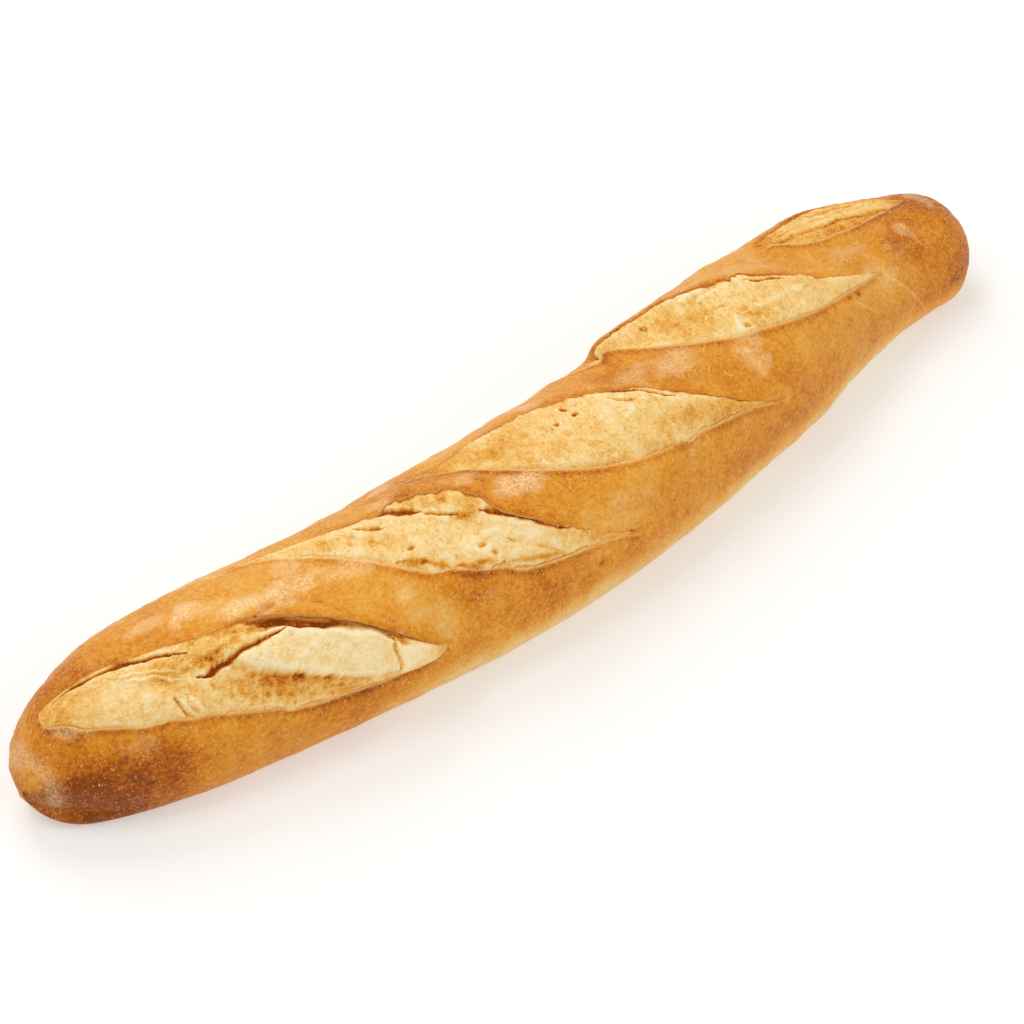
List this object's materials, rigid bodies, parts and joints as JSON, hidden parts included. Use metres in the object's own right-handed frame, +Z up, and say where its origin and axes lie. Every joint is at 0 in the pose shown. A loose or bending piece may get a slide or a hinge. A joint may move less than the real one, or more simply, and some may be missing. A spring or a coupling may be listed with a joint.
{
  "type": "baguette",
  "caption": "Long curved baguette loaf with slanting slashes, raised ears and pale domed crumb, resting on a flat base.",
  "frame": {"origin": "middle of the loaf's box in plan, on the surface that it rests on", "axes": "+X along the loaf from its fuller end to its slimmer end, +Z up"},
  "size_m": [0.4784, 0.0986, 0.0589],
  "materials": {
    "crust": "baked golden-brown crust, satin",
    "crumb": "pale open crumb inside the slashes, matt and rough"
  },
  "bodies": {
    "root": {"loaf": "crust"}
  },
  "joints": []
}
